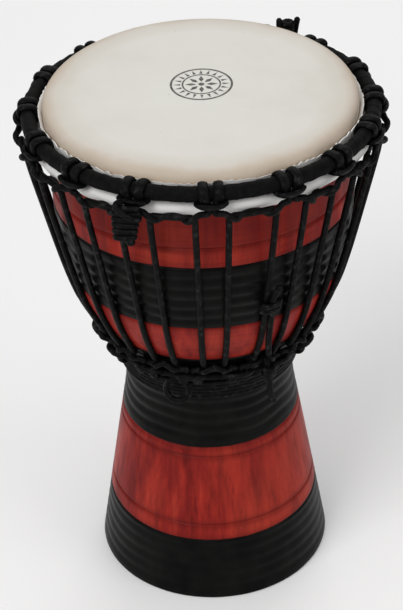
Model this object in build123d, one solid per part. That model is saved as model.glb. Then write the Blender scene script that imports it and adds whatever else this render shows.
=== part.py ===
from build123d import *
import os
from math import cos, pi, radians, sin, tan

# A small rope-tuned djembe: a goblet-shaped wooden shell, a goat skin folded round a steel
# hoop, a cloth-wrapped crown ring that pulls the skin down, a ring round the neck of the
# bowl, and black rope that laces the two rings together.
# Frame: origin at the centre of the foot on the floor, +Z up, the front towards -Y.
# An angle is measured about Z from the front, positive towards +X. Lengths are mm.

# Driving dimensions
HEIGHT = 406.4  # floor to playing surface
FOOT_RADIUS = 90.5
NECK_RADIUS = 66.0
FOOT_HEIGHT = 150.0  # where the straight foot meets the neck's curve
ROPE = 4.0
SKIN = 0.9
CLEAR = 0.1

# Shell: radius and turn of each arc of the outside, from the neck up
NECK_ARC, NECK_TURN = 106.0, 43.55
BELLY_ARC, BELLY_TURN = 139.0, 19.1
SHOULDER_ARC, SHOULDER_TURN = 246.0, 15.1
RIM_RADIUS, RIM_BOTTOM = 112.5, 370.0  # the upright part, where the skin is drawn down
BEARING_EDGE_ROUND = 6.0
FOOT_EDGE_ROUND = 1.5
# Shell: the inside
FOOT_BORE = 76.5
THROAT_RADIUS = 50.0
THROAT_BOTTOM, THROAT_TOP = 128.0, 180.0
THROAT_ARC, BOWL_ARC, WALL_ARC = 60.0, 100.0, 515.0
BOWL_TURN, WALL_TURN = 40.0, 5.0
# Shell: carved lines and the painted bands' ridges
CARVED_LINES = (344.0, 327.0, 270.0, 229.0, 133.5, 125.6, 66.0, 52.5)
LINE_CUTTER = 1.3
RIDGE_PITCH = 9.5
RIDGE_CUTTER = 3.0
RIDGE_DEPTH = 0.9
RIDGED_BANDS = ((279.5, 5), (144.0, 9), (9.5, 4))  # height of the first groove, grooves

# Skin hoop and crown ring
HOOP_RADIUS, HOOP_HEIGHT, HOOP_TUBE = 119.6, 379.4, 3.5
FOLD = 1.8  # skin wound twice round the hoop
FLAP_TOP = 400.0
CROWN_RADIUS, CROWN_HEIGHT = 123.8, 394.2
CROWN_CORE, CROWN_TUBE = 3.4, 5.0
# Ring round the neck of the bowl
NECK_RING_RADIUS, NECK_RING_HEIGHT = 82.2, 211.0
NECK_RING_CORE, NECK_RING_TUBE = 2.0, 2.75

# Rope: the crown hitches as tied, by eye not quite evenly, and the lacing's legs
HITCH_ANGLES = (2, 27, 48, 70, 91, 113, 136, 158, 180, 200, 222, 245, 269, 293, 315.5, 338)
LEG_ANGLE = 5.1  # each leg hangs this far from its hitch
TOP_HOOK = (130.0, 378.0)  # radius and height of the lacing's upper turns
NECK_HOOK = (88.5, 226.0)  # and of its lower turns
HOOK_BEND = 4.2
LEG_BELLY = (105.3, 268.0)  # where a leg comes to lie on the bowl
LEG_LOWER = (94.2, 239.0)

# Leftover rope: the coil round the neck, the eye tied on it and the hank at the crown
COIL_BOTTOM, COIL_TOP, COIL_WALL = 178.0, 203.2, 4.7
EYE_ANGLE, EYE_HEIGHT, EYE_TILT = -18.2, 195.8, 14.0
EYE_RADIUS = 8.2
HANK_ANGLE, HANK_RADIUS, HANK_HEIGHT, HANK_LEAN = -23.4, 138.8, 374.0, 13.0
HANK_SIZE = (20.0, 8.5, 24.0)  # across, out from the drum, tall
# The lacing's end, tied back up beside a leg, and the knots at its two ends
TIED_LEG = HITCH_ANGLES[1] - LEG_ANGLE
TIE_ROUTE = (
    (27.0, 96.0, 233.5),
    (25.4, 98.4, 247.0),
    (24.7, 105.5, 269.0),
    (24.3, 110.6, 290.0),
    (25.2, 114.6, 299.0),
    (27.9, 118.0, 306.5),
)
TIE_TURNS = (282.6, 287.0)
TAIL_ROUTE = (
    (31.0, 100.6, 216.8),
    (31.4, 99.0, 206.5),
    (32.6, 96.2, 197.0),
    (34.6, 95.0, 188.0),
)
TAIL_KNOT = (30.6, 101.0, 223.2)
CROWN_KNOT_ANGLE = 147.0
CROWN_ENDS = (151.4, 120.6, 404.2), (142.6, 130.4, 403.6)  # its two ends, inner and outer


def at(angle, radius, height):
    """The point at this angle, distance from the axis and height."""
    return Vector(radius * sin(radians(angle)), -radius * cos(radians(angle)), height)


def beside(angle, reference_radius, offset, radius, height):
    """As at(), this far round the axis from the angle, measured at the reference radius."""
    return at(angle + offset / reference_radius * 180 / pi, radius, height)


def bend_radii(points):
    """For each corner of a route, an arc as large as its two runs allow."""
    radii = []
    for before, corner, after in zip(points, points[1:], points[2:]):
        arriving = corner - before
        leaving = after - corner
        half_turn = radians(arriving.get_angle(leaving)) / 2
        radii.append(0.45 * min(arriving.length, leaving.length) / tan(half_turn))
    return radii


def rope(points, hooks=()):
    """A rope along straight runs joined by tangent arcs. hooks lists the corners, counted
    from the first, where it turns tightly over another rope."""
    radii = bend_radii(points)
    for corner in hooks:
        radii[corner] = min(radii[corner], HOOK_BEND)
    path = FilletPolyline(*points, radius=radii)
    section = Plane(origin=path @ 0, z_dir=path % 0) * Circle(ROPE / 2)
    return sweep(section, path=path)


def save(part, name, colour):
    """Write one node."""
    part.label = name
    part.color = Color(*colour)
    os.makedirs("parts", exist_ok=True)
    export_step(part, f"parts/{name}.step")


def ring(radius, height, tube):
    """A round-section ring about the drum's axis."""
    return Pos(0, 0, height) * Torus(radius, tube)


# Shell -------------------------------------------------------------------------------------
# Half sections are drawn with X as the radius and Y as the height, then stood up.
foot_side = Line((FOOT_RADIUS, 0), (NECK_RADIUS, FOOT_HEIGHT))
neck = JernArc(foot_side @ 1, foot_side % 1, NECK_ARC, -NECK_TURN)
belly = JernArc(neck @ 1, neck % 1, BELLY_ARC, BELLY_TURN)
shoulder = JernArc(belly @ 1, belly % 1, SHOULDER_ARC, SHOULDER_TURN)
outside = Wire([foot_side.edge(), neck.edge(), belly.edge(), shoulder.edge()])
SHELL_TOP = HEIGHT - SKIN - CLEAR
SIDE_INNER = RIM_RADIUS + CLEAR
SIDE_OUTER = SIDE_INNER + SKIN


def shell_radius(height):
    """The outside radius of the shell at this height."""
    low, high = 0.0, 1.0
    top = outside @ 1
    if height >= top.Y:
        share = min((height - top.Y) / (RIM_BOTTOM - top.Y), 1)
        return top.X + share * (RIM_RADIUS - top.X)
    for _ in range(40):
        middle = (low + high) / 2
        if (outside @ middle).Y < height:
            low = middle
        else:
            high = middle
    return (outside @ low).X


def groove(height, cutter, depth):
    """A round-bottomed groove round the shell."""
    return ring(shell_radius(height) + cutter - depth, height, cutter)


def turned(curves):
    """The solid turned from a closed half section."""
    return revolve(Plane.XZ * make_face(Curve() + curves), Axis.Z)


def outer_edge(solid, height):
    """The largest circle of the solid at this height."""
    circles = solid.edges().filter_by(GeomType.CIRCLE)
    level = circles.filter_by_position(Axis.Z, height - CLEAR, height + CLEAR)
    return level.sort_by(SortBy.RADIUS)[-1]


def make_shell():
    rim = Polyline(shoulder @ 1, (RIM_RADIUS, RIM_BOTTOM), (RIM_RADIUS, SHELL_TOP))
    core = Polyline(rim @ 1, (0, SHELL_TOP), (0, 0), foot_side @ 0)
    shell = turned([foot_side, neck, belly, shoulder, rim, core])
    bell = Line((FOOT_BORE, 0), (THROAT_RADIUS, THROAT_BOTTOM))
    throat = Line(bell @ 1, (THROAT_RADIUS, THROAT_TOP))
    lower = JernArc(throat @ 1, throat % 1, THROAT_ARC, -BOWL_TURN - WALL_TURN)
    upper = JernArc(lower @ 1, lower % 1, BOWL_ARC, BOWL_TURN)
    wall = JernArc(upper @ 1, upper % 1, WALL_ARC, WALL_TURN)
    mouth = Polyline(wall @ 1, ((wall @ 1).X, SHELL_TOP), (0, SHELL_TOP), (0, 0), bell @ 0)
    shell -= turned([bell, throat, lower, upper, wall, mouth])
    shell = fillet(outer_edge(shell, SHELL_TOP), BEARING_EDGE_ROUND)
    shell = fillet(outer_edge(shell, 0), FOOT_EDGE_ROUND)
    cutters = [groove(height, LINE_CUTTER, LINE_CUTTER) for height in CARVED_LINES]
    for first, count in RIDGED_BANDS:
        for number in range(count):
            height = first + number * RIDGE_PITCH
            cutters.append(groove(height, RIDGE_CUTTER, RIDGE_DEPTH))
    return shell - cutters


# Skin --------------------------------------------------------------------------------------
def upright(radius, width, bottom, top):
    """A rectangle of a half section, from its inner radius and its bottom."""
    return Pos(radius, bottom) * Rectangle(width, top - bottom, align=(Align.MIN, Align.MIN))


def make_skin():
    """The playing surface, its side, the fold round the hoop and the trimmed edge above."""
    fold_radius = HOOP_TUBE + CLEAR + FOLD
    side_bottom = HOOP_HEIGHT - fold_radius
    outer = upright(0, SIDE_OUTER, side_bottom, HEIGHT)
    corner = outer.vertices().sort_by_distance((SIDE_OUTER, HEIGHT))[0]
    outer = fillet(corner, BEARING_EDGE_ROUND + SKIN)
    inner = upright(0, SIDE_INNER, side_bottom, HEIGHT - SKIN)
    corner = inner.vertices().sort_by_distance((SIDE_INNER, HEIGHT - SKIN))[0]
    inner = fillet(corner, BEARING_EDGE_ROUND)
    # The web leads from the side out under the hoop, and the end is tucked up beside the ring.
    web = upright(SIDE_INNER, HOOP_RADIUS - SIDE_INNER, side_bottom, side_bottom + SKIN)
    fold = Pos(HOOP_RADIUS, HOOP_HEIGHT) * Circle(fold_radius)
    flap = upright(SIDE_OUTER + CLEAR, SKIN, HOOP_HEIGHT, FLAP_TOP)
    tuck = upright(SIDE_OUTER + CLEAR, 2 * FOLD, HOOP_HEIGHT, HOOP_HEIGHT + SKIN)
    section = outer - inner + web + fold + flap + tuck
    section -= Pos(HOOP_RADIUS, HOOP_HEIGHT) * Circle(HOOP_TUBE + CLEAR)
    return revolve(Plane.XZ * section, Axis.Z)


# Rope hitches ------------------------------------------------------------------------------
def hitch(angle, before, after, ring_radius, ring_height, tube, hook, leg_offset, up, mid):
    """One cow hitch round a ring, with half the cradle on either side of it.

    hook is the radius and height of the lacing's turn that the cradles hold, leg_offset how
    far to each side its nearest leg is, up is 1 where the hitch hangs below its ring and -1
    where it stands above, and mid the cradle's middle measured from the hook."""
    near = tube + ROPE / 2 + CLEAR
    hook_radius, hook_height = hook

    def from_ring(offset, outward, rise):
        height = ring_height + up * rise
        return beside(angle, ring_radius, offset, ring_radius + outward, height)

    def from_hook(offset, outward, rise):
        height = hook_height + up * rise
        return beside(angle, hook_radius, offset, hook_radius + outward, height)

    def half(side):
        middle = (angle + (before if side < 0 else after)) / 2
        points = [at(middle, hook_radius + mid[0], hook_height + up * mid[1])]
        if up > 0:
            points.append(from_hook(side * (leg_offset + 9.2), -3.2, -4.2))
        points += [
            from_hook(side * (leg_offset + 4.7), 3.4, -5.4),
            from_hook(side * (leg_offset + 1.0), 5.0, 2.2),
            from_ring(side * 4.0, near - 0.9, -near - 5.3),
            from_ring(side * 2.4, near - 2.2, -near - 1.5),
            from_ring(side * 4.0, near + 0.05, -near / 4),
            from_ring(side * 5.2, near + 0.05, near + 0.1),
            from_ring(side * 5.6, -near - 0.1, near + 0.1),
            from_ring(side * 6.4, -near - 0.1, -near + 0.1),
            from_ring(side * 9.4, near, -near - 0.5),
            from_ring(side * 3.2, near + 2.4, -near - 0.5),
        ]
        return points

    return rope(half(-1) + half(1)[::-1])


def neighbours(angles):
    """Each angle with the one before it and the one after it."""
    count = len(angles)
    for index, angle in enumerate(angles):
        before = angles[index - 1] - (360 if index == 0 else 0)
        after = angles[(index + 1) % count] + (360 if index == count - 1 else 0)
        yield before, angle, after


def between(angles):
    """The angles half way between each angle and the next."""
    return [(angle + after) / 2 for before, angle, after in neighbours(angles)]


def joined(pieces):
    """One solid of pieces that meet face to face."""
    return pieces[0].fuse(*pieces[1:])


def make_crown_rope():
    hitches = []
    offset = radians(LEG_ANGLE) * TOP_HOOK[0]
    for before, angle, after in neighbours(HITCH_ANGLES):
        hitches.append(
            hitch(
                angle,
                before,
                after,
                CROWN_RADIUS,
                CROWN_HEIGHT,
                CROWN_TUBE,
                TOP_HOOK,
                offset,
                1,
                (-3.4, -3.4),
            )
        )
    return joined(hitches)


def make_neck_rope():
    hitches = []
    crown_pairs = [(angle, after) for before, angle, after in neighbours(HITCH_ANGLES)]
    for (left, right), place in zip(crown_pairs, neighbours(between(HITCH_ANGLES))):
        before, angle, after = place
        offset = radians((right - left) / 2 - LEG_ANGLE) * NECK_HOOK[0]
        hitches.append(
            hitch(
                angle,
                before,
                after,
                NECK_RING_RADIUS,
                NECK_RING_HEIGHT,
                NECK_RING_TUBE,
                NECK_HOOK,
                offset,
                -1,
                (0.6, -4.7),
            )
        )
    return joined(hitches)


def make_lacing():
    """The legs: up from below one hitch, over to the next hitch's side and down again."""
    spans = []
    for before, angle, after in neighbours(HITCH_ANGLES):
        up, down = angle + LEG_ANGLE, after - LEG_ANGLE
        climb = [at(up, *NECK_HOOK), at(up, *LEG_LOWER), at(up, *LEG_BELLY), at(up, *TOP_HOOK)]
        fall = [at(down, *TOP_HOOK), at(down, *LEG_BELLY), at(down, *LEG_LOWER)]
        ends = at(angle, *NECK_HOOK), at(after, *NECK_HOOK)
        route = [ends[0], *climb, *fall, at(down, *NECK_HOOK), ends[1]]
        spans.append(rope(route, hooks=(0, 3, 4, 7)))
    return joined(spans)


# Rings -------------------------------------------------------------------------------------
def make_cloth(radius, height, core, tube):
    """The cloth wound over a ring's steel core."""
    return ring(radius, height, tube) - ring(radius, height, core + CLEAR / 4)


# Leftover rope -----------------------------------------------------------------------------
def make_coil():
    """The outer shape of the rope wound round the neck, under the neck ring."""
    steps = 6
    rise = (COIL_TOP - COIL_BOTTOM) / steps
    heights = [COIL_BOTTOM + step * rise for step in range(steps + 1)]
    inner = [(shell_radius(height) + 2 * CLEAR, height) for height in heights]
    outer = [(radius + COIL_WALL, height) for radius, height in inner]
    return turned([Polyline(*inner, *outer[::-1], close=True)])


def make_eye():
    """The eye that ends the coil, lying flat on it."""
    radius = shell_radius(EYE_HEIGHT) + COIL_WALL + ROPE / 2 + 0.8
    outward = at(EYE_ANGLE, 1, 0)
    across = Vector(-outward.Y, outward.X, 0)
    lying = Plane(at(EYE_ANGLE, radius, EYE_HEIGHT), x_dir=across, z_dir=outward)
    return lying * Rot(EYE_TILT, 0, 0) * Torus(EYE_RADIUS, ROPE / 2)


def make_hank():
    """The outer shape of the bundled rope, narrower towards its foot."""
    width, depth, height = HANK_SIZE
    outward = at(HANK_ANGLE, 1, 0)
    across = Vector(-outward.Y, outward.X, 0)
    hanging = Plane(at(HANK_ANGLE, HANK_RADIUS, HANK_HEIGHT), x_dir=across, z_dir=(0, 0, 1))
    sections = []
    for level, share in ((-0.5, 0.5), (-0.3, 0.9), (0.1, 1.0), (0.5, 0.85)):
        outline = RectangleRounded(width * share, depth * share, depth * share * 0.4)
        sections.append(Pos(0, 0, level * height) * outline)
    return hanging * Rot(HANK_LEAN, 0, 0) * loft(sections)


def around_tied_leg(height):
    """One turn of the upper knot, over the leg and the rope beside it."""
    share = (height - LEG_BELLY[1]) / (TOP_HOOK[1] - LEG_BELLY[1])
    leg_radius = LEG_BELLY[0] + share * (TOP_HOOK[0] - LEG_BELLY[0])

    def beside_leg(offset, outward, rise):
        return beside(TIED_LEG, leg_radius, offset, leg_radius + outward, height + rise)

    route = [
        beside_leg(-4.4, 0.6, -0.8),
        beside_leg(-4.0, 4.6, -0.6),
        beside_leg(8.8, 6.1, 0.6),
        beside_leg(9.4, 0.8, 0.8),
    ]
    return rope(route)


def make_tie():
    """The lacing's end: beside a leg, its free end standing out above the knot."""
    return rope([at(*point) for point in TIE_ROUTE])


def make_tie_knot():
    return Compound(children=[around_tied_leg(height) for height in TIE_TURNS])


def make_tail():
    return rope([at(*point) for point in TAIL_ROUTE])


def make_tail_knot():
    """Two turns of rope, one above the other, over the tail's head."""
    angle, radius, height = TAIL_KNOT
    outward = at(angle, 1, 0)
    across = Vector(-outward.Y, outward.X, 0)
    turns = []
    for rise in (-2.1, 2.1):
        level = Plane(at(angle, radius, height + rise), x_dir=across, z_dir=(0, 0, 1))
        turns.append(level * Torus(3.2, ROPE / 2))
    return Compound(children=turns)


def make_crown_knot():
    """The crown rope's two ends, taken round the ring behind the drum."""
    near = CROWN_TUBE + ROPE / 2 + CLEAR
    inner, outer = CROWN_ENDS
    route = [
        at(*inner),
        at(CROWN_KNOT_ANGLE + 1.3, CROWN_RADIUS - near, CROWN_HEIGHT + near),
        at(CROWN_KNOT_ANGLE + 0.9, CROWN_RADIUS - near, CROWN_HEIGHT - near),
        at(CROWN_KNOT_ANGLE - 0.7, CROWN_RADIUS + near, CROWN_HEIGHT - near),
        at(CROWN_KNOT_ANGLE - 1.1, CROWN_RADIUS + near, CROWN_HEIGHT + near),
        at(*outer),
    ]
    return rope(route)


def main():
    wood = (0.55, 0.12, 0.08)
    skin = (0.93, 0.91, 0.86)
    steel = (0.6, 0.6, 0.62)
    black = (0.05, 0.05, 0.055)
    crown = CROWN_RADIUS, CROWN_HEIGHT
    neck_ring = NECK_RING_RADIUS, NECK_RING_HEIGHT
    save(make_shell(), "shell", wood)
    save(make_skin(), "drumhead_skin", skin)
    save(ring(HOOP_RADIUS, HOOP_HEIGHT, HOOP_TUBE), "flesh_hoop", steel)
    save(ring(*crown, CROWN_CORE), "crown_ring", steel)
    save(make_cloth(*crown, CROWN_CORE, CROWN_TUBE), "crown_ring_cloth", black)
    save(make_crown_rope(), "crown_rope", black)
    save(make_crown_knot(), "crown_rope_knot", black)
    save(make_lacing(), "lacing_rope", black)
    save(ring(*neck_ring, NECK_RING_CORE), "neck_ring", steel)
    save(make_cloth(*neck_ring, NECK_RING_CORE, NECK_RING_TUBE), "neck_ring_cloth", black)
    save(make_neck_rope(), "neck_rope", black)
    save(make_coil(), "waist_coil", black)
    save(make_eye(), "waist_coil_eye", black)
    save(make_hank(), "rope_hank", black)
    save(make_tie(), "tie_off_rope", black)
    save(make_tie_knot(), "tie_off_knot", black)
    save(make_tail(), "lacing_tail", black)
    save(make_tail_knot(), "lacing_tail_knot", black)


main()
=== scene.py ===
import math
import random

import bmesh
import bpy
import numpy as np
from mathutils import Matrix, Vector


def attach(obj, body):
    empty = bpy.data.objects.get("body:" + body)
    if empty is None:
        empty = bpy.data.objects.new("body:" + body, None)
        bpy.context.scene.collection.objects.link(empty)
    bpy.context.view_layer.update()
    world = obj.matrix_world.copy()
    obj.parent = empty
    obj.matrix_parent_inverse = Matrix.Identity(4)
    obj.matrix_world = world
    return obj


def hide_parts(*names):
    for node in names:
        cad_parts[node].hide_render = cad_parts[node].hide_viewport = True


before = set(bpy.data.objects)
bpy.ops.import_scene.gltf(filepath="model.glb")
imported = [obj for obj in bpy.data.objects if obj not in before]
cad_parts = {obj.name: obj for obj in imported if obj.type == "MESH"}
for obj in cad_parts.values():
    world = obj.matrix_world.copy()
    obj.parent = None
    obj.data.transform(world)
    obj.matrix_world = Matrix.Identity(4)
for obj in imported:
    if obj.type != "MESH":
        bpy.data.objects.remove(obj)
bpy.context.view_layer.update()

# A rope-tuned djembe. Angles are in degrees about Z from the front (-Y), positive towards
# +X. Radii, heights and offsets are in mm, and at() turns them into metres.
MM = 0.001
ROPE = 4.5  # braided rope, as it swells between its turns
CAD_ROPE = 4.0
CLEAR = 0.1
chance = random.Random(11)

# Shell
FOOT_RADIUS, NECK_RADIUS, FOOT_HEIGHT = 90.5, 66.0, 150.0
SHELL_ARCS = ((106.0, -43.55), (139.0, 19.1), (246.0, 15.1))  # neck, belly, shoulder
RIM_RADIUS, RIM_BOTTOM = 112.5, 370.0
SHELL_TOP = 405.4
RIM_ROUND, FOOT_ROUND = 6.0, 1.5
FOOT_BORE, THROAT_RADIUS, THROAT_BOTTOM, THROAT_TOP = 76.5, 50.0, 128.0, 180.0
INNER_ARCS = ((60.0, -45.0), (100.0, 40.0), (515.0, 5.0))
TOP_LINE = 344.0
CARVED_LINES = (TOP_LINE, 327.0, 270.0, 229.0, 133.5, 125.6, 66.0, 52.5)
RIDGE_PITCH = 9.5
RIDGED_BANDS = ((272.5, 325.0, 279.5), (136.5, 227.0, 144.0), (3.0, 50.0, 9.5))
SHELL_SEGMENTS = 300
FOOT_RIDGES = 60.0  # a band that starts below this height has shallower ridges
RIDGE_DEPTH, FOOT_RIDGE_DEPTH = 1.15, 0.55
LINE_CUT, TOP_LINE_CUT = (1.1, 0.95), (1.7, 1.3)  # a carved line's depth and half width
RIM_ROWS = 8

# Skin, hoop, rings
SIDE_OUTER = 113.5
HEAD_TOP = 406.4
SKIN = 0.9
SKIN_SEGMENTS = 480
HOOP_RADIUS, HOOP_HEIGHT, FOLD_RADIUS = 119.6, 380.5, 4.8
FLAP_RADIUS, FLAP_BOTTOM, FLAP_TOP = 114.5, 386.5, 398.2
SIDE_BOTTOM, SIDE_INSIDE_TOP = 373.5, 395
CROWN_RADIUS, CROWN_HEIGHT, CROWN_TUBE = 123.8, 394.2, 5.0
CROWN_DIP = 3.4  # the hoop and the crown ring stand this much higher in front, lower behind
BACK_DROP = 4.2  # and behind, this much lower again
HOOP_WIRE, CROWN_BAR, NECK_BAR = 3.5, 3.4, 2.0
TILT_FROM, TILT_FULL = 355.0, 375.0  # rope between these heights comes to follow the crown's tilt
NECK_RING_RADIUS, NECK_RING_HEIGHT, NECK_RING_TUBE = 79.8, 211.0, 2.75
TAPE_SEGMENTS, TAPE_AROUND = 1440, 24
TAPE_WEAVE = 0.0009  # in metres
CROWN_TAPE = 0.4  # the crown's tape makes its tube this much thicker
CROWN_TAPE_PITCH, NECK_TAPE_PITCH = 11.0, 9.0
STEEL_SEGMENTS, STEEL_AROUND = 240, 16

# Rope routes. They start from part.py's, but the lacing's two hooks, its lower leg, the eye, the
# hank, the tie-off, the tail with its knot and the crown rope's ends were moved here and not
# there. The tail's start is 17 mm from part.py's, and the others are nearer.
HITCH_ANGLES = (2, 27, 48, 70, 91, 113, 136, 158, 180, 200, 222, 245, 269, 293, 315.5, 338)
LEG_ANGLE = 5.1
TOP_HOOK = (130.0, 379.3)
NECK_HOOK = (84.8, 223.4)
LEG_BELLY = (105.3, 268.0)
LEG_LOWER = (93.6, 239.0)
LEG_UPPER = (124.6, 353.0)  # on the long run, six rope widths below the upper turn
LEG_TOP = (128.4, 370.0)
COIL_BOTTOM, COIL_TOP = 178.0, 203.2
EYE_ANGLE, EYE_HEIGHT, EYE_TILT, EYE_RADIUS = -17.2, 199.6, 18.0, 9.2
HANK_ANGLE, HANK_RADIUS, HANK_HEIGHT, HANK_LEAN = -23.0, 138.4, 376.2, 13.0
HANK_SIZE = (22.5, 29.0)  # across, tall
HANK_HEIGHTS = (-0.5, -0.3, 0.1, 0.5)  # heights in the hank, as shares of how tall it is
HANK_WIDTHS = (0.62, 0.84, 0.98, 0.9)  # and its width at each, as shares of its size across
TIED_LEG = HITCH_ANGLES[1] - LEG_ANGLE
TIE_ROUTE = (
    (26.2, 96.5, 233.5),
    (25.0, 100.5, 247.0),
    (24.4, 106.0, 268.0),
    (24.3, 110.8, 288.0),
    (22.6, 117.5, 299.0),
    (25.2, 119.8, 310.0),
)
TIE_TURNS = (287.4, 292.0)
TAIL_ROUTE = (
    (27.0, 87.2, 225.2),
    (27.0, 94.0, 223.6),
    (26.8, 95.6, 212.0),
    (27.3, 94.8, 203.0),
    (28.4, 92.6, 194.0),
    (30.8, 91.2, 184.6),
)
TAIL_KNOT = (26.8, 95.4, 218.6)
TAIL_TURN, TAIL_TURN_RISES = 3.2, (-2.1, 2.1)  # radius of the knot's turns, height above its middle
CROWN_KNOT_ANGLE = 147.0
CROWN_TURN, CROWN_TURN_HEIGHTS = 3.1, (404.6, 408.2)
CROWN_ENDS = (149.4, 120.6, 413.6), (144.4, 129.4, 412.4)
# Where rope is pressed flat on a ring: how far from the ring's middle it is quite flat, and round
CROWN_GRIP, NECK_GRIP = (11.5, 14.5), (5.5, 8.5)

# Camera: its lens and place in mm, how far below level it looks and how far it is rolled
LENS = 129.8
CAMERA_PLACE = (-4.56, -1368.3, 1188.8)
CAMERA_DOWN, CAMERA_ROLL = 35.33, -2.04

# Ornament on the head: its centre, how far the ink lies above the skin, and its thickness
ORNAMENT_CENTRE = (1.0, 9.0)
INK_GAP, INK_THICKNESS = 0.05, 0.04

# Paint: the bands' edges with 1 for black, and the lengths in metres that paint ramps span
PAINTED_BANDS = ((0, 1), (52.5, 0), (133.5, 1), (229, 0), (270, 1), (327, 0))
WOOD_SPAN, SKIN_SPAN = 0.42, 0.13
LINE_DARKENING = ((-5.5, 0.0), (-1.0, 0.46), (1.0, 0.46), (5.5, 0.0))  # how much darker the red is beside a carved line, as (offset from the line, depth)
MIX_FIRST, MIX_SECOND, MIX_COLOUR = 6, 7, 2  # the Mix node's colour sockets


def tilt(front):
    """How far the crown ring and the hoop stand above level, where front is the cosine of the
    angle from the front."""
    return CROWN_DIP * front - BACK_DROP * ((1 - front) / 2) ** 2


def at(angle, radius, height):
    """The point at this angle, distance from the axis and height, in metres, with what is
    tied to the crown ring dipping towards the back."""
    turn = math.radians(angle)
    share = min(max((height - TILT_FROM) / (TILT_FULL - TILT_FROM), 0), 1)
    height += tilt(math.cos(turn)) * share
    return Vector((radius * math.sin(turn), -radius * math.cos(turn), height)) * MM


def beside(angle, reference_radius, offset, radius, height):
    """As at(), this far round the axis from the angle, measured at the reference radius."""
    return at(angle + math.degrees(offset / reference_radius), radius, height)


# Camera, floor and lights --------------------------------------------------------------------
def make_camera():
    data = bpy.data.cameras.new("camera")
    data.sensor_width = 36
    data.lens = LENS
    data.clip_start, data.clip_end = 0.05, 50
    camera = bpy.data.objects.new("camera", data)
    bpy.context.scene.collection.objects.link(camera)
    place = Matrix.Translation(Vector(CAMERA_PLACE) * MM)
    pitch = Matrix.Rotation(math.radians(90 - CAMERA_DOWN), 4, "X")
    roll = Matrix.Rotation(math.radians(CAMERA_ROLL), 4, "Z")
    camera.matrix_world = place @ pitch @ roll
    bpy.context.scene.camera = camera


def add_light(name, place, size, power):
    """A square soft light aimed at the drum's belly."""
    data = bpy.data.lights.new(name, "AREA")
    data.shape = "SQUARE"
    data.size = size
    data.energy = power
    light = bpy.data.objects.new(name, data)
    bpy.context.scene.collection.objects.link(light)
    light.location = place
    aim = Vector((0, 0, 0.22)) - light.location
    light.rotation_mode = "QUATERNION"
    light.rotation_quaternion = aim.to_track_quat("-Z", "Y")


def make_studio():
    bpy.context.scene.view_settings.view_transform = "Standard"
    add_light("key", Vector((-1.1, -1.3, 1.9)), 1.3, 26)
    add_light("fill", Vector((1.7, -1.1, 1.1)), 1.4, 9)
    add_light("back", Vector((0.3, 1.7, 1.8)), 1.4, 12)
    world = bpy.data.worlds.new("studio")
    bpy.context.scene.world = world
    world.use_nodes = True
    background = world.node_tree.nodes["Background"]
    background.inputs["Color"].default_value = (1, 1, 1, 1)
    background.inputs["Strength"].default_value = 0.5


# Materials -----------------------------------------------------------------------------------
class Paint:
    """A material being built: its nodes, and its Principled shader."""

    def __init__(self, name, roughness, **settings):
        self.material = bpy.data.materials.new(name)
        self.material.use_nodes = True
        self.nodes = self.material.node_tree.nodes
        self.links = self.material.node_tree.links
        self.shader = self.nodes["Principled BSDF"]
        self.shader.inputs["Roughness"].default_value = roughness
        for socket, value in settings.items():
            self.shader.inputs[socket.replace("_", " ")].default_value = value

    def feed(self, socket, value):
        if isinstance(value, bpy.types.NodeSocket):
            self.links.new(value, socket)
        elif value is not None:
            socket.default_value = value

    def place(self, scale=(1, 1, 1)):
        """The row frame's coordinates, stretched by this much along each axis."""
        source = self.nodes.new("ShaderNodeTexCoord").outputs["Object"]
        mapping = self.nodes.new("ShaderNodeMapping")
        mapping.inputs["Scale"].default_value = scale
        self.links.new(source, mapping.inputs["Vector"])
        return mapping.outputs["Vector"]

    def noise(self, scale, detail=4.0, roughness=0.55, stretch=(1, 1, 1)):
        texture = self.nodes.new("ShaderNodeTexNoise")
        texture.inputs["Scale"].default_value = scale
        texture.inputs["Detail"].default_value = detail
        texture.inputs["Roughness"].default_value = roughness
        self.links.new(self.place(stretch), texture.inputs["Vector"])
        return texture.outputs["Fac"]

    def math(self, operation, first, second=None, third=None):
        node = self.nodes.new("ShaderNodeMath")
        node.operation = operation
        for socket, value in zip(node.inputs, (first, second, third)):
            self.feed(socket, value)
        return node.outputs[0]

    def ramp(self, factor, *stops, constant=False):
        """Stops are (place, colour)."""
        node = self.nodes.new("ShaderNodeValToRGB")
        if constant:
            node.color_ramp.interpolation = "CONSTANT"
        elements = node.color_ramp.elements
        while len(elements) < len(stops):
            elements.new(0.5)
        for element, (place, colour) in zip(elements, stops):
            element.position = place
            element.color = (*colour, 1)
        self.links.new(factor, node.inputs["Fac"])
        return node.outputs["Color"]

    def mix(self, factor, first, second):
        node = self.nodes.new("ShaderNodeMix")
        node.data_type = "RGBA"
        self.feed(node.inputs["Factor"], factor)
        self.feed(node.inputs[MIX_FIRST], first)
        self.feed(node.inputs[MIX_SECOND], second)
        return node.outputs[MIX_COLOUR]

    def bump(self, height, distance, strength=1.0, under=None):
        node = self.nodes.new("ShaderNodeBump")
        node.inputs["Strength"].default_value = strength
        node.inputs["Distance"].default_value = distance
        self.links.new(height, node.inputs["Height"])
        if under is not None:
            self.links.new(under, node.inputs["Normal"])
        return node.outputs["Normal"]

    def finish(self, colour, normal=None, roughness=None):
        self.links.new(colour, self.shader.inputs["Base Color"])
        if normal is not None:
            self.links.new(normal, self.shader.inputs["Normal"])
        if roughness is not None:
            self.links.new(roughness, self.shader.inputs["Roughness"])
        return self.material


def grey(value):
    return (value, value, value)


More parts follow.
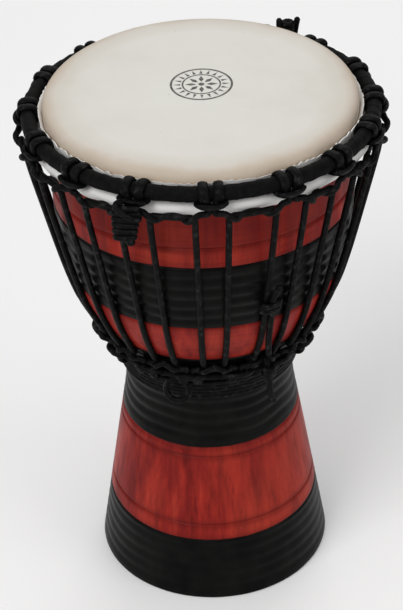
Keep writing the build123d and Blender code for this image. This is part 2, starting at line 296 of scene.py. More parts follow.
def wood_paint():
    """Red-stained wood with its grain showing, and black painted bands."""
    paint = Paint("stained_wood", 0.42, Specular_IOR_Level=0.06)
    streaks = paint.noise(115, 6, 0.62, (1, 1, 0.05))
    patches = paint.noise(13, 3, 0.5, (1, 1, 0.45))
    fine = paint.noise(620, 3, 0.6, (1, 1, 0.03))
    red = paint.ramp(
        streaks,
        (0.32, (0.11, 0.008, 0.007)),
        (0.44, (0.21, 0.014, 0.011)),
        (0.57, (0.30, 0.021, 0.014)),
        (0.70, (0.37, 0.036, 0.020)),
    )
    warm = paint.ramp(patches, (0.48, grey(0.0)), (0.66, grey(0.45)))
    red = paint.mix(warm, red, (0.41, 0.048, 0.026, 1))
    strokes = paint.noise(48, 5, 0.6, (1, 1, 0.16))
    stained = paint.ramp(strokes, (0.34, grey(0.55)), (0.50, grey(0.0)))
    red = paint.mix(stained, red, (0.13, 0.009, 0.009, 1))
    pores = paint.ramp(fine, (0.30, grey(0.4)), (0.42, grey(0.0)))
    red = paint.mix(pores, red, (0.11, 0.009, 0.007, 1))
    dust = paint.noise(45, 5, 0.6)
    black = paint.ramp(dust, (0.35, grey(0.0015)), (0.7, (0.006, 0.006, 0.0055)))
    height = paint.nodes.new("ShaderNodeSeparateXYZ")
    paint.links.new(paint.place(), height.inputs["Vector"])
    brush = paint.math("MULTIPLY_ADD", paint.noise(70, 2), 0.0012, -0.0006)
    level = paint.math("ADD", height.outputs["Z"], brush)
    level = paint.math("DIVIDE", level, WOOD_SPAN)
    turning = paint.noise(55, 4, 0.6, (0.3, 0.3, 6))
    turned = paint.ramp(turning, (0.40, grey(0.36)), (0.52, grey(0.0)))
    bowl = paint.ramp(level, (0.50, grey(0.0)), (0.54, grey(1.0)))
    turned = paint.math("MULTIPLY", turned, bowl)
    red = paint.mix(turned, red, (0.15, 0.010, 0.012, 1))
    bands = []
    for edge, black_here in PAINTED_BANDS:
        bands.append((edge * MM / WOOD_SPAN, grey(float(black_here))))
    painted = paint.ramp(level, *bands, constant=True)
    # The red is darker beside each carved line. Above the top line it stays darker, as painted
    # shadow of the crown ring.
    darker_beside_lines = [(0.0, grey(1.0))]
    for line in sorted(CARVED_LINES):
        for step, depth in LINE_DARKENING:
            darker_beside_lines.append(((line + step) * MM / WOOD_SPAN, grey(1.0 - depth)))
    edges = darker_beside_lines[:-1]  # above the top line the darkening stays on, as painted shadow of the crown ring
    red = paint.mix(paint.ramp(level, *edges), (0.10, 0.007, 0.006, 1), red)
    colour = paint.mix(painted, red, black)
    gloss = paint.ramp(streaks, (0.3, grey(0.46)), (0.7, grey(0.34)))
    gloss = paint.mix(painted, gloss, (0.36, 0.36, 0.36, 1))
    normal = paint.bump(streaks, 0.0006, 0.35)
    normal = paint.bump(dust, 0.0008, 0.35, normal)
    return paint.finish(colour, normal, gloss)


def inner_wood_paint():
    """Bare wood inside the shell."""
    paint = Paint("bare_wood", 0.7)
    streaks = paint.noise(90, 6, 0.6, (1, 1, 0.06))
    colour = paint.ramp(streaks, (0.3, (0.16, 0.075, 0.032)), (0.7, (0.38, 0.21, 0.10)))
    return paint.finish(colour, paint.bump(streaks, 0.0008, 0.5))


def skin_paint():
    """Goat skin: off-white and mottled, with brown painted shade towards the shoulder, and raw
    white where it is folded round its hoop and trimmed."""
    paint = Paint("goat_skin", 0.55, Specular_IOR_Level=0.3)
    mottle = paint.noise(9, 5, 0.6)
    fine = paint.noise(160, 4, 0.6)
    pale = paint.ramp(
        mottle,
        (0.30, (0.63, 0.605, 0.545)),
        (0.50, (0.68, 0.665, 0.615)),
        (0.72, (0.71, 0.700, 0.655)),
    )
    where = paint.nodes.new("ShaderNodeSeparateXYZ")
    paint.links.new(paint.place(), where.inputs["Vector"])
    across = paint.math("POWER", where.outputs["X"], 2.0)
    along = paint.math("POWER", where.outputs["Y"], 2.0)
    radius = paint.math("SQRT", paint.math("ADD", across, along))
    exact = paint.math("DIVIDE", radius, SKIN_SPAN)
    uneven = paint.math("MULTIPLY_ADD", paint.noise(28, 3), 0.10, -0.05)
    # Painted shade: the skin is painted browner towards the shoulder, where it rounds over the rim.
    shoulder_shade = paint.ramp(
        paint.math("ADD", exact, uneven),
        (0.0, grey(0.0)),
        (0.68, grey(0.04)),
        (0.79, grey(0.30)),
        (0.85, grey(0.72)),
        (0.90, grey(0.95)),
    )
    playing = paint.ramp(exact, (0.875, grey(1.0)), (0.8775, grey(0.0)))
    shoulder_shade = paint.math("MULTIPLY", shoulder_shade, playing)
    raw = paint.mix(playing, (0.86, 0.85, 0.83, 1), pale)
    pale = paint.mix(shoulder_shade, raw, (0.47, 0.37, 0.275, 1))
    specks = paint.ramp(paint.noise(330, 2, 0.5), (0.22, grey(0.3)), (0.27, grey(0.0)))
    colour = paint.mix(specks, pale, (0.30, 0.26, 0.21, 1))
    grain = paint.bump(fine, 0.0004, 0.4)
    return paint.finish(colour, paint.bump(mottle, 0.004, 0.25, grain))


def black_cloth_paint(name, weave):
    """Black cotton tape; weave is the size of its threads, in metres."""
    paint = Paint(name, 0.7, Specular_IOR_Level=0.08)
    threads = paint.nodes.new("ShaderNodeTexVoronoi")
    threads.inputs["Scale"].default_value = 1 / weave
    paint.links.new(paint.place(), threads.inputs["Vector"])
    lint = paint.noise(240, 4, 0.6)
    colour = paint.ramp(lint, (0.35, grey(0.0008)), (0.75, grey(0.005)))
    relief = paint.bump(threads.outputs["Distance"], 0.0005, 0.6)
    return paint.finish(colour, relief)


def rope_paint():
    """Black braided polyester with lint on it, and painted highlights on its raised strands."""
    paint = Paint("braided_rope", 0.5, Specular_IOR_Level=0.07)
    lint = paint.noise(420, 4, 0.65)
    low = paint.ramp(lint, (0.38, grey(0.0006)), (0.62, grey(0.002)), (0.80, grey(0.008)))
    # Painted highlights: the braid's raised strands are painted lighter, brightest at a few spots.
    raised_highlight = paint.ramp(
        paint.noise(230, 3, 0.6), (0.42, grey(0.002)), (0.56, grey(0.007)), (0.72, grey(0.05))
    )
    strands = paint.nodes.new("ShaderNodeAttribute")
    strands.attribute_name = "raised"
    colour = paint.mix(strands.outputs["Fac"], low, raised_highlight)
    return paint.finish(colour, paint.bump(paint.noise(1500, 2), 0.0004, 0.5))


def steel_paint():
    paint = Paint("steel", 0.35, Metallic=1.0)
    scratches = paint.noise(300, 4, 0.6, (1, 1, 6))
    colour = paint.ramp(scratches, (0.3, grey(0.38)), (0.7, grey(0.56)))
    return paint.finish(colour, paint.bump(scratches, 0.0002, 0.3))


def ink_paint():
    """Worn dark ink."""
    paint = Paint("worn_ink", 0.6)
    wear = paint.noise(420, 4, 0.7)
    colour = paint.ramp(wear, (0.42, (0.030, 0.026, 0.024)), (0.72, (0.22, 0.20, 0.185)))
    return paint.finish(colour, paint.bump(wear, 0.0002, 0.3))


# Meshes --------------------------------------------------------------------------------------
def new_piece(name, mesh, material, slot, *nodes):
    """Links a mesh as a piece that rides on the body and stands for these CAD nodes."""
    piece = bpy.data.objects.new(name, mesh)
    bpy.context.scene.collection.objects.link(piece)
    mesh.materials.append(material)
    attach(piece, "root")
    if nodes:
        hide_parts(*nodes)
    return piece


def wobble(angles, amplitude, lowest, highest):
    """A smooth, closed, uneven wave round the drum."""
    total = np.zeros_like(angles)
    for turns in range(lowest, highest + 1):
        phase = chance.uniform(0, 2 * math.pi)
        total += math.sqrt(2) * np.cos(turns * angles + phase) * chance.uniform(0.4, 1.0)
    return amplitude * total / math.sqrt(highest - lowest + 1)


def lathe(name, radii, heights, angles):
    """A mesh of rows round the axis, the last joined to the first; radii and heights have a row
    for each profile point and a column for each angle."""
    rows, columns = radii.shape
    points = np.stack(
        [radii * np.sin(angles), -radii * np.cos(angles), heights], axis=2
    ).reshape(-1, 3)
    faces = []
    for row in range(rows):
        here, above = row * columns, (row + 1) % rows * columns
        for column in range(columns):
            right = (column + 1) % columns
            faces.append((here + column, here + right, above + right, above + column))
    mesh = bpy.data.meshes.new(name)
    mesh.from_pydata((points * MM).tolist(), [], faces)
    work = bmesh.new()
    work.from_mesh(mesh)
    bmesh.ops.remove_doubles(work, verts=work.verts, dist=1e-7)
    bmesh.ops.recalc_face_normals(work, faces=work.faces)
    work.to_mesh(mesh)
    work.free()
    mesh.polygons.foreach_set("use_smooth", [True] * len(mesh.polygons))
    mesh.set_sharp_from_angle(angle=math.radians(50))
    return mesh


def arcs(start, direction, pieces, step=2.0):
    """Points (radius, height) along tangent arcs, each (radius of the arc, turn in degrees)."""
    points = []
    place, heading = np.array(start, float), direction
    for radius, turn in pieces:
        total = math.radians(turn)
        count = max(2, round(abs(total) * radius / step))
        side = np.array([-math.sin(heading), math.cos(heading)]) * math.copysign(1, turn)
        centre = place + side * radius
        for number in range(1, count + 1):
            now = heading + total * number / count
            out = np.array([-math.sin(now), math.cos(now)]) * math.copysign(1, turn)
            points.append(centre - out * radius)
        place, heading = points[-1], heading + total
    return points


def round_corner(centre, radius, first, last, count):
    """Points (radius, height) on part of a circle, between two angles in degrees."""
    turns = np.radians(np.linspace(first, last, count))
    return [(centre[0] + radius * math.cos(t), centre[1] + radius * math.sin(t)) for t in turns]


slope = math.atan2(FOOT_HEIGHT, NECK_RADIUS - FOOT_RADIUS)
outside = np.array(
    [(FOOT_RADIUS, 0.0), (NECK_RADIUS, FOOT_HEIGHT)]
    + arcs((NECK_RADIUS, FOOT_HEIGHT), slope, SHELL_ARCS)
    + [(RIM_RADIUS, RIM_BOTTOM), (RIM_RADIUS, SHELL_TOP)]
)


def shell_radius(height):
    """The outside radius of the shell at this height, before carving."""
    return np.interp(height, outside[:, 1], outside[:, 0])


def shell_rows():
    """The outside from the foot up, and the rim and the inside down again, as (radius, height)
    points."""
    heights = set(np.arange(4.5, SHELL_TOP - RIM_ROUND - 1, 1.7).round(3))
    for line in CARVED_LINES:
        heights = {h for h in heights if abs(h - line) > 2.6}
        heights.update(line + step for step in (-2.2, -1.5, -0.8, 0.0, 0.8, 1.5, 2.2))
    side = [(float(shell_radius(height)), height) for height in sorted(heights)]
    foot = (FOOT_RADIUS - FOOT_ROUND - 0.3, FOOT_ROUND)
    outer = round_corner(foot, FOOT_ROUND, -90, -2, 6) + side
    rim = (shell_radius(SHELL_TOP) - RIM_ROUND, SHELL_TOP - RIM_ROUND)
    rim_rows = round_corner(rim, RIM_ROUND, 0, 90, RIM_ROWS)
    inner = arcs((THROAT_RADIUS, THROAT_TOP), math.pi / 2, INNER_ARCS, 8.0)
    mouth = (inner[-1][0], SHELL_TOP)
    rows = rim_rows + [mouth] + [tuple(point) for point in inner[::-1]]
    rows += [(THROAT_RADIUS, THROAT_TOP), (THROAT_RADIUS, THROAT_BOTTOM)]
    for share in (0.2, 0.4, 0.6, 0.8, 1.0):
        bore = THROAT_RADIUS + share * (FOOT_BORE - THROAT_RADIUS)
        rows.append((bore, THROAT_BOTTOM * (1 - share)))
    return outer, rows


def make_shell():
    """The carved shell, its lines and ridges cut into the outside."""
    outer, inner = shell_rows()
    angles = np.arange(SHELL_SEGMENTS) * 2 * math.pi / SHELL_SEGMENTS
    profile = np.array(outer + inner)
    radii = np.repeat(profile[:, :1], SHELL_SEGMENTS, axis=1)
    heights = np.repeat(profile[:, 1:], SHELL_SEGMENTS, axis=1)
    carved = slice(0, len(outer))
    cut = np.zeros_like(radii[carved])
    level = heights[carved]
    for line in CARVED_LINES:
        middle = line + wobble(angles, 0.25, 1, 5)
        depth, width = TOP_LINE_CUT if line == TOP_LINE else LINE_CUT
        cut += depth * np.exp(-(((level - middle) / width) ** 2))
    for bottom, top, first in RIDGED_BANDS:
        shift = wobble(angles, 1.1, 1, 9)
        depth = RIDGE_DEPTH if bottom > FOOT_RIDGES else FOOT_RIDGE_DEPTH
        depth = depth + wobble(angles, 0.2, 2, 9)
        wave = np.cos((level - first - shift) * 2 * math.pi / RIDGE_PITCH) / 2 + 0.5
        fade = np.clip((level - bottom) / 2, 0, 1) * np.clip((top - level) / 2, 0, 1)
        cut += depth * wave**1.7 * fade
    facets = 0.05 * np.cos(level / 11.0 + 3 * np.cos(angles * 3))
    facets = facets * np.cos(angles * 23 + level / 17)
    radii[carved] -= cut + facets
    mesh = lathe("shell_body", radii, heights, angles)
    new_piece("shell_body", mesh, wood_paint(), "wood", "shell")
    mesh.materials.append(inner_wood_paint())
    first_bare = len(outer) + RIM_ROWS
    for number, face in enumerate(mesh.polygons):
        if first_bare <= number // SHELL_SEGMENTS < len(profile) - 1:
            face.material_index = 1


def make_skin():
    """The playing skin, down the side, round the hoop and up to its trimmed, torn edge."""
    angles = np.arange(SKIN_SEGMENTS) * 2 * math.pi / SKIN_SEGMENTS
    corner = (SIDE_OUTER - RIM_ROUND - SKIN, HEAD_TOP - RIM_ROUND - SKIN)
    top = [(radius, HEAD_TOP) for radius in (0.0, 4, 12, 24, 36, 48, 60, 72, 82, 91, 98, 102)]
    rows = top + round_corner(corner, RIM_ROUND + SKIN, 88, 0, 10)
    rows += [(SIDE_OUTER, FLAP_TOP - 5)]
    flap = len(rows)
    rows += [(FLAP_RADIUS + 1.2, FLAP_TOP - 0.3), (FLAP_RADIUS + 2.1, FLAP_TOP)]
    rows += [(FLAP_RADIUS + 1.3, FLAP_TOP - 3.6)]
    rows += [(FLAP_RADIUS + 0.2, FLAP_BOTTOM)]
    fold = len(rows)
    rows += round_corner((HOOP_RADIUS, HOOP_HEIGHT), FOLD_RADIUS, 112, -125, 16)
    end = len(rows)
    inner = SIDE_OUTER - SKIN
    rows += [(inner, SIDE_BOTTOM), (inner, SIDE_INSIDE_TOP)]
    rows += round_corner(corner, RIM_ROUND, 0, 88, 6)
    rows += [(radius, HEAD_TOP - SKIN) for radius in (80, 40, 0.0)]
    profile = np.array(rows)
    radii = np.repeat(profile[:, :1], SKIN_SEGMENTS, axis=1)
    heights = np.repeat(profile[:, 1:], SKIN_SEGMENTS, axis=1)
    ragged = wobble(angles, 0.8, 3, 24) + wobble(angles, 0.6, 40, 150)
    heights[flap : flap + 2] += np.clip(ragged, -2.2, 2.0)
    radii[flap : flap + 2] += np.clip(wobble(angles, 0.35, 8, 50), -0.25, 1.0)
    creases = wobble(angles, 0.28, 10, 60)
    sag = wobble(angles, 0.5, 3, 24)
    heights[flap:end] += tilt(np.cos(angles))
    share = np.sin(np.linspace(0, math.pi, end - fold))[:, None]
    radii[fold:end] += share * creases
    heights[fold:end] += share * sag
    mesh = lathe("drumhead", radii, heights, angles)
    piece = new_piece("drumhead", mesh, skin_paint(), "skin", "drumhead_skin")


def make_wrapped_ring(name, node, radius, height, tube, pitch, dip, paint):
    """A ring bound with overlapping turns of cloth tape, each turn's edge standing a little.
    pitch is the distance between turns, and dip is 1 for a ring tilted as the crown is, or 0."""
    angles = np.arange(TAPE_SEGMENTS) * 2 * math.pi / TAPE_SEGMENTS
    turns = 2 * math.pi * np.arange(TAPE_AROUND) / TAPE_AROUND
    winds = round(2 * math.pi * radius / pitch)
    slant = (angles[None, :] * winds - turns[:, None]) / (2 * math.pi)
    lap = slant - np.floor(slant)
    swell = tube + 0.34 * (1 - lap) ** 2 + wobble(angles, 0.1, 20, 80)
    radii = radius + swell * np.cos(turns)[:, None]
    heights = height + swell * np.sin(turns)[:, None] + dip * tilt(np.cos(angles))
    mesh = lathe(name, radii, heights, angles)
    new_piece(name, mesh, paint, "cloth", node)


def make_steel_ring(name, node, radius, height, tube, dip, paint):
    """A bare round ring; dip is 1 for one that is tilted as the crown is, or 0."""
    angles = np.arange(STEEL_SEGMENTS) * 2 * math.pi / STEEL_SEGMENTS
    turns = 2 * math.pi * np.arange(STEEL_AROUND) / STEEL_AROUND
    radii = radius + tube * np.cos(turns)[:, None] + 0 * angles
    heights = height + tube * np.sin(turns)[:, None] + dip * tilt(np.cos(angles))
    mesh = lathe(name, radii, heights, angles)
    new_piece(name, mesh, paint, "steel", node)


# Rope ----------------------------------------------------------------------------------------
AROUND = 16  # points round the tube
BRAID_STEP = 0.9
BRAID_LUMP = 0.17  # how far the strands stand out and in
END_TAPER = (0.45, 0.8)  # a cut end's first rings, as shares of the rope's radius
PRESSED_WIDE, PRESSED_THIN = 0.5, 0.26  # shares of the rope's width


def smooth_line(route, cyclic=False):
    """The line of a NURBS spline with the route's points as its control points."""
    curve = bpy.data.curves.new("route", "CURVE")
    curve.dimensions = "3D"
    curve.resolution_u = 10
    spline = curve.splines.new("NURBS")
    spline.points.add(len(route) - 1)
    for place, point in zip(spline.points, route):
        place.co = (*point, 1)
    spline.order_u = 3
    spline.use_endpoint_u = not cyclic
    spline.use_cyclic_u = cyclic
    carrier = bpy.data.objects.new("route", curve)
    mesh = bpy.data.meshes.new_from_object(carrier)
    line = np.array([vertex.co[:] for vertex in mesh.vertices])
    bpy.data.objects.remove(carrier)
    bpy.data.meshes.remove(mesh)
    bpy.data.curves.remove(curve)
    return np.vstack([line, line[:1]]) if cyclic else line


def evenly(line, step, even):
    """Points along the line about a step apart, with its ends; even asks for an even number of
    steps, so that the braid meets itself on a closed rope."""
    lengths = np.concatenate([[0], np.cumsum(np.linalg.norm(np.diff(line, axis=0), axis=1))])
    count = round(lengths[-1] / step)
    if even and count % 2:
        count += 1
    places = np.linspace(0, lengths[-1], count + 1)
    return np.stack([np.interp(places, lengths, line[:, axis]) for axis in range(3)], axis=1)


def crosswise(line, cyclic):
    """At each point of the line, two directions square to it that don't twist along it."""
    ahead = np.gradient(line, axis=0)
    if cyclic:
        ahead[0] = ahead[-1] = line[1] - line[-2]
    ahead /= np.linalg.norm(ahead, axis=1)[:, None]
    any_direction = (0.31, 0.17, 0.93)
    first = np.cross(ahead[0], any_direction)
    sides = []
    for direction in ahead:
        first = first - direction * first.dot(direction)
        first = first / np.linalg.norm(first)
        sides.append(first)
    sides = np.array(sides)
    others = np.cross(ahead, sides)
    if cyclic:
        gap = math.atan2(sides[-1].dot(others[0]), sides[-1].dot(sides[0]))
        back = -gap * np.linspace(0, 1, len(line))[:, None]
        sides, others = (
            sides * np.cos(back) + others * np.sin(back),
            others * np.cos(back) - sides * np.sin(back),
        )
    return sides, others


def press(line, out, ring):
    """Flattens the tube where the rope is pulled tight round a ring. out is how far each point
    of the tube is from the line; ring is the ring's radius and height, how far from its middle
    the rope is quite flat, where it is round again, and 1 for the tilted crown ring."""
    radius, height, flat, full = np.array(ring[:4]) * MM
    level = np.hypot(line[:, 0], line[:, 1])
    lift = height + ring[4] * tilt(-line[:, 1] / level) * MM
    away = line - np.stack([line[:, 0] / level * radius, line[:, 1] / level * radius, lift], 1)
    distance = np.linalg.norm(away, axis=1)
    share = np.clip((full - distance) / (full - flat), 0, 1)[:, None]
    share = share * share * (3 - 2 * share)
    away /= distance[:, None]
    ahead = np.gradient(line, axis=0)
    beside_it = np.cross(ahead, away)
    beside_it /= np.linalg.norm(beside_it, axis=1)[:, None]
    thick = (out * away[:, None, :]).sum(2)[:, :, None] * away[:, None, :]
    wide = (out * beside_it[:, None, :]).sum(2)[:, :, None] * beside_it[:, None, :]
    out = out + share[:, :, None] * (PRESSED_WIDE * wide - PRESSED_THIN * thick)
    return line - share * away * PRESSED_THIN * ROPE / 2 * MM, out


def braid(name, routes, paint, *nodes, cyclic=False, ring=None):
    """Braided rope along each route, as one piece. Every second point of the tube stands out,
    which makes the braid's lozenges. Returns the piece and each route's line."""
    points, faces, lines, raised = [], [], [], []
    for route in routes:
        line = evenly(smooth_line(route, cyclic), BRAID_STEP * MM, cyclic)
        sides, others = crosswise(line, cyclic)
        lines.append(line)
        if cyclic:
            line, sides, others = line[:-1], sides[:-1], others[:-1]
        rings = len(line)
        turns = np.arange(AROUND) * 2 * math.pi / AROUND
        check = (np.arange(rings)[:, None] + np.arange(AROUND)[None, :]) % 2
        radius = (ROPE / 2 - BRAID_LUMP + 2 * BRAID_LUMP * check) * MM
        if not cyclic:
            for row, share in enumerate(END_TAPER):
                radius[row] *= share
                radius[rings - 1 - row] *= share
        out = (
            sides[:, None, :] * np.cos(turns)[None, :, None]
            + others[:, None, :] * np.sin(turns)[None, :, None]
        )
        out *= radius[:, :, None]
        if ring:
            line, out = press(line, out, ring)
        base = len(points)
        points += (line[:, None, :] + out).reshape(-1, 3).tolist()
        raised += check.ravel().astype(float).tolist()
        for row in range(rings if cyclic else rings - 1):
            here, there = base + row * AROUND, base + (row + 1) % rings * AROUND
            for side in range(AROUND):
                right = (side + 1) % AROUND
                faces.append((here + side, here + right, there + right, there + side))
        if not cyclic:
            faces.append([base + side for side in range(AROUND)][::-1])
            faces.append([base + (rings - 1) * AROUND + side for side in range(AROUND)])
    mesh = bpy.data.meshes.new(name)
    mesh.from_pydata(points, [], faces)
    mesh.polygons.foreach_set("use_smooth", [True] * len(mesh.polygons))
    mesh.attributes.new("raised", "FLOAT", "POINT").data.foreach_set("value", raised)
    return new_piece(name, mesh, paint, "rope", *nodes), lines


def hitch_route(angle, before, after, ring, hook, leg_offset, up, mid, tail):
    """One cow hitch round a ring, with half the cradle on either side. mid is the cradle's
    middle and tail its points round the lacing's corner, both measured from the hook."""
    ring_radius, ring_height, tube = ring
    near = tube + CAD_ROPE / 2 + CLEAR
    hook_radius, hook_height = hook

    def from_ring(offset, outward, rise):
        height = ring_height + up * rise
        return beside(angle, ring_radius, offset, ring_radius + outward, height)

    def from_hook(offset, outward, rise):
        height = hook_height + up * rise
        return beside(angle, hook_radius, offset, hook_radius + outward, height)

    def half(side):
        middle = (angle + (before if side < 0 else after)) / 2
        points = [at(middle, hook_radius + mid[0], hook_height + up * mid[1])]
        for beyond, outward, rise in tail:
            points.append(from_hook(side * (leg_offset + beyond), outward, rise))
        points += [
            from_ring(side * 7.4, near + 0.4, -near - 4.2),
            from_ring(side * 1.4, near + 0.2, -near - 5.0),
            from_ring(side * 2.4, near - 2.6, -near - 1.2),
            from_ring(side * 4.4, near + 0.05, -near / 4),
            from_ring(side * 5.2, near + 0.05, near + 0.1),
            from_ring(side * 5.4, -near - 0.1, near + 0.1),
            from_ring(side * 6.2, -near - 0.1, -near + 0.1),
            from_ring(side * 9.2, near + 0.3, -near + 1.4),
            from_ring(side * 3.2, near + 2.6, -near + 1.2),
        ]
        return points

    return half(-1) + half(1)[:0:-1]


def neighbours(angles):
    """Each angle with the one before it and the one after it."""
    count = len(angles)
    for index, angle in enumerate(angles):
        before = angles[index - 1] - (360 if index == 0 else 0)
        after = angles[(index + 1) % count] + (360 if index == count - 1 else 0)
        yield before, angle, after


# The cradles' middles, and their points round the lacing's corners
CROWN_MID = (-3.8, -0.8)
CROWN_TAIL = ((8.6, -3.4, -2.2), (5.0, 1.2, -3.2), (0.6, 4.3, 1.6))
NECK_MID = (1.4, -0.8)
NECK_TAIL = ((4.7, 3.0, -1.2), (1.0, 4.6, 1.2))


def make_crown_rope(paint):
    """The rope tied round the crown ring."""
    route = []
    offset = math.radians(LEG_ANGLE) * TOP_HOOK[0]
    ring = CROWN_RADIUS, CROWN_HEIGHT, CROWN_TUBE
    for before, angle, after in neighbours(HITCH_ANGLES):
        place = angle, before, after
        route += hitch_route(*place, ring, TOP_HOOK, offset, 1, CROWN_MID, CROWN_TAIL)
    tight = CROWN_RADIUS, CROWN_HEIGHT, *CROWN_GRIP, 1
    braid("crown_hitches", [route], paint, "crown_rope", cyclic=True, ring=tight)


def make_neck_rope(paint):
    """The rope tied round the neck ring, its hitches halfway between the crown's."""
    route = []
    pairs = [(angle, after) for _, angle, after in neighbours(HITCH_ANGLES)]
    middles = [(left + right) / 2 for left, right in pairs]
    ring = NECK_RING_RADIUS, NECK_RING_HEIGHT, NECK_RING_TUBE
    for (left, right), (before, angle, after) in zip(pairs, neighbours(middles)):
        offset = math.radians((right - left) / 2 - LEG_ANGLE) * NECK_HOOK[0]
        place = angle, before, after
        route += hitch_route(*place, ring, NECK_HOOK, offset, -1, NECK_MID, NECK_TAIL)
    tight = NECK_RING_RADIUS, NECK_RING_HEIGHT, *NECK_GRIP, 0
    braid("neck_hitches", [route], paint, "neck_rope", cyclic=True, ring=tight)


def make_lacing(paint):
    """The long rope, up and down between the two rings' cradles."""
    hook_turn = 3.6
    route = []
    for _, angle, after in neighbours(HITCH_ANGLES):
        up, down = angle + LEG_ANGLE, after - LEG_ANGLE
        route.append(at(angle, *NECK_HOOK))
        route += [at(up, *NECK_HOOK), at(up, *LEG_LOWER), at(up, *LEG_BELLY)]
        route += [at(up, *LEG_UPPER), at(up, *LEG_TOP), at(up, *TOP_HOOK)]
        route += [at(up + hook_turn, *TOP_HOOK), at(down - hook_turn, *TOP_HOOK)]
        route += [at(down, *TOP_HOOK), at(down, *LEG_TOP), at(down, *LEG_UPPER)]
        route += [at(down, *LEG_BELLY), at(down, *LEG_LOWER)]
        route.append(at(down, *NECK_HOOK))
    braid("lacing", [route], paint, "lacing_rope", cyclic=True)


def make_waist_coil(paint):
    """Rope wound round the neck, its turns a little uneven."""
    per_turn, turns, start = 14, 5.5, 140
    lowest, rise = COIL_BOTTOM + 2.2, COIL_TOP - COIL_BOTTOM - 4.2
    gap = 0.35  # between the rope and the wood
    route = []
    drift = [chance.uniform(-0.35, 0.35) for _ in range(per_turn)]
    for number in range(round(per_turn * turns) + 1):
        angle = start + number * 360 / per_turn
        share = number / (per_turn * turns)
        height = lowest + share * rise
        height += drift[number % per_turn] + chance.uniform(-0.12, 0.12)
        route.append(at(angle, float(shell_radius(height)) + ROPE / 2 + gap, height))
    piece, lines = braid("waist_coil_rope", [route], paint, "waist_coil")


def make_eye(paint):
    """The small loop that stands on the coil, a little over one turn round."""
    stand_off, start, step, count = 6.2, -120, 30, 15
    radius = float(shell_radius(EYE_HEIGHT)) + ROPE * 1.5 + stand_off
    route = []
    for number in range(count):
        turn = math.radians(start + number * step)
        out = radius - math.sin(turn) * EYE_RADIUS * math.sin(math.radians(EYE_TILT))
        height = EYE_HEIGHT + EYE_RADIUS * math.sin(turn) * math.cos(math.radians(EYE_TILT))
        route.append(beside(EYE_ANGLE, radius, EYE_RADIUS * math.cos(turn), out, height))
    braid("coil_eye", [route], paint, "waist_coil_eye")


def make_hank(paint):
    """Leftover rope wound into a small bundle that hangs below the crown ring."""
    width, tall = HANK_SIZE
    lean = math.radians(HANK_LEAN)
    per_turn, turns = 12, 6
    highest, drop, depth = tall / 2 - 3.2, tall - 5.4, 2.1

    def hanging(across, outward, rise):
        out = outward * math.cos(lean) - rise * math.sin(lean)
        up = rise * math.cos(lean) + outward * math.sin(lean)
        return beside(HANK_ANGLE, HANK_RADIUS, across, HANK_RADIUS + out, HANK_HEIGHT + up)

    route = [hanging(1.0, -7.0, 14.5), hanging(-8.0, 2.5, 14.0), hanging(-3.0, 5.2, 9.5)]
    route += [hanging(6.0, 5.4, 5.4), hanging(11.2, 0.5, 3.4), hanging(6.0, -2.4, 9.0)]
    for number in range(per_turn * turns + 1):
        turn = 2 * math.pi * number / per_turn
        rise = highest - drop * number / (per_turn * turns)
        share = np.interp(rise / tall, HANK_HEIGHTS, HANK_WIDTHS)
        half_width = width * share / 2 - ROPE / 2
        route.append(hanging(half_width * math.cos(turn), depth * math.sin(turn), rise))
    route += [hanging(3.0, 3.0, -11.5), hanging(7.0, 2.6, -8.5)]
    piece, lines = braid("hank_rope", [route], paint, "rope_hank")


def around_tied_leg(height):
    """One turn of the tie-off's knot, over the leg and the rope beside it."""
    share = (height - LEG_BELLY[1]) / (TOP_HOOK[1] - LEG_BELLY[1])
    leg_radius = LEG_BELLY[0] + share * (TOP_HOOK[0] - LEG_BELLY[0])
    turn = ((-4.8, 0.8, -0.8), (-4.4, 5.6, -0.6), (8.6, 6.1, 0.6), (9.2, 0.8, 0.8))
    points = []
    for offset, outward, rise in turn:
        points.append(beside(TIED_LEG, leg_radius, offset, leg_radius + outward, height + rise))
    return points


def knot_turn(angle, radius, height, size):
    """A small level loop, of this size in radius."""
    outward = at(angle, 1, 0).normalized()
    across = Vector((-outward.y, outward.x, 0))
    count = 12
    points = []
    for number in range(count):
        turn = 2 * math.pi * number / count
        points.append(
            at(angle, radius, height)
            + (outward * math.sin(turn) + across * math.cos(turn)) * size * MM
        )
    return points


def crown_knot_route():
    """The crown rope's two ends, taken once round the ring."""
    near = CROWN_TUBE + CAD_ROPE / 2 + CLEAR
    inner, outer = CROWN_ENDS
    return [
        at(*inner),
        at(CROWN_KNOT_ANGLE + 1.3, CROWN_RADIUS - near, CROWN_HEIGHT + near),
        at(CROWN_KNOT_ANGLE + 0.9, CROWN_RADIUS - near, CROWN_HEIGHT - near),
        at(CROWN_KNOT_ANGLE - 0.7, CROWN_RADIUS + near, CROWN_HEIGHT - near),
        at(CROWN_KNOT_ANGLE - 1.1, CROWN_RADIUS + near, CROWN_HEIGHT + near),
        at(*outer),
    ]


def make_knots(paint):
    """The tie-off, the tail and the crown rope's ends, each with the turns that hold it."""
    tie = [at(*point) for point in TIE_ROUTE]
    piece, lines = braid("tie_off_end", [tie], paint, "tie_off_rope")
    braid("tie_off_turns", [around_tied_leg(h) for h in TIE_TURNS], paint, "tie_off_knot")
    tail = [at(*point) for point in TAIL_ROUTE]
    piece, lines = braid("lacing_tail_end", [tail], paint, "lacing_tail")
    angle, radius, height = TAIL_KNOT
    turns = [knot_turn(angle, radius, height + rise, TAIL_TURN) for rise in TAIL_TURN_RISES]
    braid("lacing_tail_turns", turns, paint, "lacing_tail_knot", cyclic=True)
    braid("crown_knot", [crown_knot_route()], paint, "crown_rope_knot")
    place = CROWN_KNOT_ANGLE, CROWN_RADIUS + 1.0
    turns = [knot_turn(*place, height, CROWN_TURN) for height in CROWN_TURN_HEIGHTS]
    braid("crown_knot_turns", turns, paint, cyclic=True)


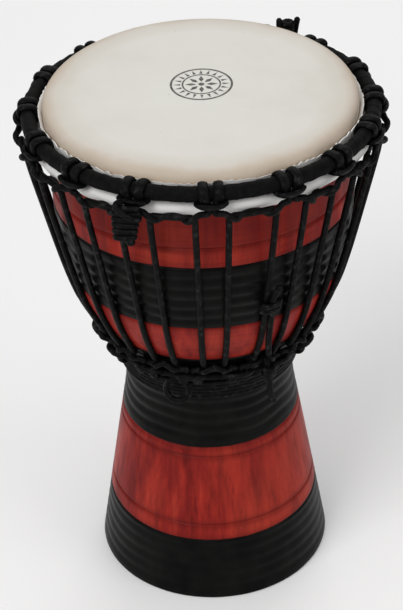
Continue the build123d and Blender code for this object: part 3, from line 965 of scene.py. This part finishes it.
# Ornament on the head: a plain rosette of rings and wedges -----------------------------------
def make_ornament():
    work = bmesh.new()
    centre = Vector((*ORNAMENT_CENTRE, HEAD_TOP + INK_GAP))

    def spot(radius, degrees):
        turn = math.radians(degrees)
        place = centre + Vector((radius * math.cos(turn), radius * math.sin(turn), 0))
        return work.verts.new(place * MM)

    def annulus(inner, outer):
        count = 96
        inside = [spot(inner, 360 * n / count) for n in range(count)]
        edge = [spot(outer, 360 * n / count) for n in range(count)]
        for n in range(count):
            after = (n + 1) % count
            work.faces.new((inside[n], edge[n], edge[after], inside[after]))

    annulus(21.1, 22.7)
    annulus(13.0, 14.2)
    for number in range(20):
        middle = number * 18
        corners = spot(15.2, middle - 4.5), spot(20.4, middle), spot(15.2, middle + 4.5)
        work.faces.new(corners)
    for number in range(8):
        middle = number * 45
        work.faces.new(
            (spot(3.6, middle), spot(7.4, middle - 14), spot(11.9, middle), spot(7.4, middle + 14))
        )
    hub = [spot(2.2, 15 * n) for n in range(24)]
    work.faces.new(hub)
    bmesh.ops.recalc_face_normals(work, faces=work.faces)
    grown = bmesh.ops.extrude_face_region(work, geom=work.faces[:])
    lifted = [item for item in grown["geom"] if isinstance(item, bmesh.types.BMVert)]
    bmesh.ops.translate(work, verts=lifted, vec=(0, 0, INK_THICKNESS * MM))
    bmesh.ops.recalc_face_normals(work, faces=work.faces)
    mesh = bpy.data.meshes.new("head_ornament")
    work.to_mesh(mesh)
    work.free()
    new_piece("head_ornament", mesh, ink_paint(), "skin")


def make_floor():
    mesh = bpy.data.meshes.new("floor")
    side = 6.0
    corners = [(-side, -side, 0), (side, -side, 0), (side, side, 0), (-side, side, 0)]
    mesh.from_pydata(corners, [], [(0, 1, 2, 3)])
    floor = bpy.data.objects.new("floor", mesh)
    bpy.context.scene.collection.objects.link(floor)
    paint = Paint("pale_floor", 0.9)
    mesh.materials.append(
        paint.finish(paint.ramp(paint.noise(2), (0.3, grey(0.95)), (0.7, grey(0.97))))
    )


make_camera()
make_studio()
make_floor()
rope = rope_paint()
make_crown_rope(rope)
make_neck_rope(rope)
make_lacing(rope)
make_waist_coil(rope)
make_eye(rope)
make_hank(rope)
make_knots(rope)
make_shell()
make_skin()
tape = black_cloth_paint("black_tape", TAPE_WEAVE)
make_wrapped_ring(
    "crown_ring_tape",
    "crown_ring_cloth",
    CROWN_RADIUS,
    CROWN_HEIGHT,
    CROWN_TUBE + CROWN_TAPE,
    CROWN_TAPE_PITCH,
    1,
    tape,
)
make_wrapped_ring(
    "neck_ring_tape",
    "neck_ring_cloth",
    NECK_RING_RADIUS,
    NECK_RING_HEIGHT,
    NECK_RING_TUBE,
    NECK_TAPE_PITCH,
    0,
    tape,
)
make_ornament()
steel = steel_paint()
make_steel_ring("hoop_wire", "flesh_hoop", HOOP_RADIUS, HOOP_HEIGHT, HOOP_WIRE, 1, steel)
make_steel_ring("crown_ring_bar", "crown_ring", CROWN_RADIUS, CROWN_HEIGHT, CROWN_BAR, 1, steel)
make_steel_ring(
    "neck_ring_bar", "neck_ring", NECK_RING_RADIUS, NECK_RING_HEIGHT, NECK_BAR, 0, steel
)
